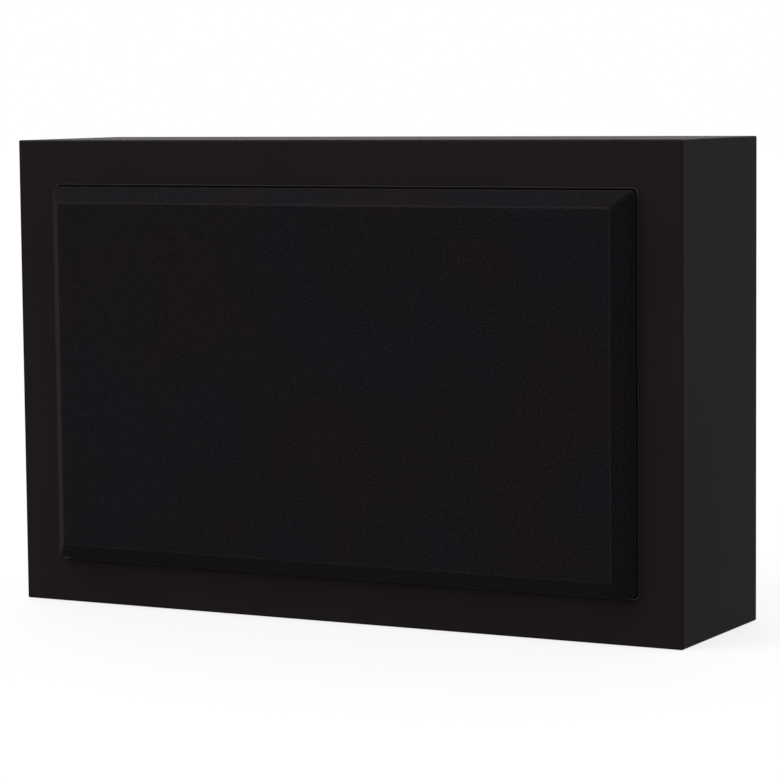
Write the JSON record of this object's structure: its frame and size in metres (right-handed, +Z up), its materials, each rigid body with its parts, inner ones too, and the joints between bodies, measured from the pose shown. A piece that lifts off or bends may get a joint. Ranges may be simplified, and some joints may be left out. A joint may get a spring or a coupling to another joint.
{
  "type": "wall subwoofer",
  "caption": "Shallow black wall-hung subwoofer with a bevelled cloth grille set in a lacquered cabinet, a driver behind it, and controls and sockets in a rear recess.",
  "frame": {"origin": "midpoint between the two keyhole entries, on the plane of the cabinet's rear rim", "axes": "+X to the viewer's right seen from the front, +Y to the wall, +Z up; the grille faces -Y"},
  "size_m": [0.5, 0.145, 0.322],
  "materials": {
    "black_lacquer": "satin lacquer on fibreboard",
    "baffle_black": "matt black paint on fibreboard",
    "raw_fibreboard": "raw fibreboard",
    "grille_knit": "stretched black knit",
    "grille_plastic": "moulded, fine grain",
    "black_rubber": "matt",
    "surround_rubber": "smooth, semi-matt",
    "foam_seal": "closed-cell foam",
    "basket_alloy": "black powder coat",
    "cone_black": "treated paper",
    "cap_black": "satin",
    "former_film": "amber film",
    "copper_wire": "enamelled copper wire",
    "spider_cloth": "resin-treated cloth",
    "zinc_steel": "zinc plated",
    "ferrite": "sintered ferrite",
    "black_steel": "fine-textured powder coat",
    "black_screw": "black zinc",
    "black_anodised": "black anodised",
    "tin_brass": "bright",
    "gold_plate": "gold plated",
    "nickel": "nickel plated",
    "circuit_green": "solder-resist",
    "epoxy_black": "moulded epoxy",
    "nylon_cream": "nylon",
    "winding_film": "clear-yellow film over copper winding",
    "capacitor_sleeve": "shrink sleeve",
    "control_body": "moulded",
    "knob_black": "satin",
    "switch_black": "semi-gloss",
    "socket_white": "semi-gloss",
    "light_lens": "clear lens",
    "wadding_white": "polyester wadding",
    "lead_red": "insulated lead"
  },
  "bodies": {
    "enclosure": {"cabinet": "black_lacquer", "baffle": "baffle_black", "back_panel": "baffle_black", "brace": "raw_fibreboard", "damping_wadding": "wadding_white", "hanger_block_left": "baffle_black", "hanger_block_right": "baffle_black", "hanger_plate_left": "zinc_steel", "hanger_plate_right": "zinc_steel", "hanger_screws": "zinc_steel", "wall_bumpers": "black_rubber", "grille_cups": "black_rubber", "driver_basket": "basket_alloy", "driver_seal": "foam_seal", "driver_screws": "black_screw", "driver_terminals": "tin_brass", "surround": "surround_rubber", "spider": "spider_cloth", "top_plate": "zinc_steel", "magnet": "ferrite", "back_plate": "zinc_steel", "amplifier_plate": "black_steel", "amplifier_seal": "foam_seal", "amplifier_screws": "black_screw", "heat_sink": "black_anodised", "power_transistors": "epoxy_black", "control_board": "circuit_green", "power_board": "circuit_green", "board_standoffs": "nylon_cream", "transformer": "winding_film", "transformer_pads": "black_rubber", "transformer_bolt": "zinc_steel", "transformer_dish": "zinc_steel", "reservoir_capacitors": "capacitor_sleeve", "level_control": "control_body", "crossover_control": "control_body", "control_nuts": "nickel", "phase_switch": "control_body", "mode_switch": "control_body", "mains_switch": "switch_black", "mains_inlet": "switch_black", "inlet_pins": "nickel", "audio_sockets": "socket_white", "audio_shells": "gold_plate", "status_light": "light_lens", "speaker_leads": "lead_red"},
    "grille": {"grille_frame": "grille_plastic", "grille_cloth": "grille_knit", "grille_pegs": "grille_plastic"},
    "diaphragm": {"cone": "cone_black", "dust_cap": "cap_black", "voice_coil_former": "former_film", "voice_coil": "copper_wire"},
    "level_dial": {"level_shaft": "nickel", "level_knob": "knob_black"},
    "crossover_dial": {"crossover_shaft": "nickel", "crossover_knob": "knob_black"},
    "phase_slider": {"phase_lever": "knob_black"},
    "mode_slider": {"mode_lever": "knob_black"},
    "rocker": {"mains_rocker": "switch_black"}
  },
  "joints": [
    {"name": "grille_pull", "type": "slide", "parent": "enclosure", "child": "grille", "axis": [0, -1, 0], "range_m": [0, 0.06]},
    {"name": "cone_travel", "type": "slide", "parent": "enclosure", "child": "diaphragm", "axis": [0, -1, 0], "range_m": [-0.007, 0.007], "stiffness_N_per_m": 2500, "deforming": ["surround", "spider"]},
    {"name": "level_turn", "type": "hinge", "parent": "enclosure", "child": "level_dial", "pos_m": [0.089, -0.02, -0.131], "axis": [0, 1, 0], "range_deg": [-150, 150]},
    {"name": "crossover_turn", "type": "hinge", "parent": "enclosure", "child": "crossover_dial", "pos_m": [0.119, -0.02, -0.131], "axis": [0, 1, 0], "range_deg": [-150, 150]},
    {"name": "phase_slide", "type": "slide", "parent": "enclosure", "child": "phase_slider", "axis": [0, 0, 1], "range_m": [0, 0.004]},
    {"name": "mode_slide", "type": "slide", "parent": "enclosure", "child": "mode_slider", "axis": [0, 0, 1], "range_m": [0, 0.004]},
    {"name": "rocker_tip", "type": "hinge", "parent": "enclosure", "child": "rocker", "pos_m": [0.199, -0.0255, -0.131], "axis": [1, 0, 0], "range_deg": [0, 16]}
  ]
}
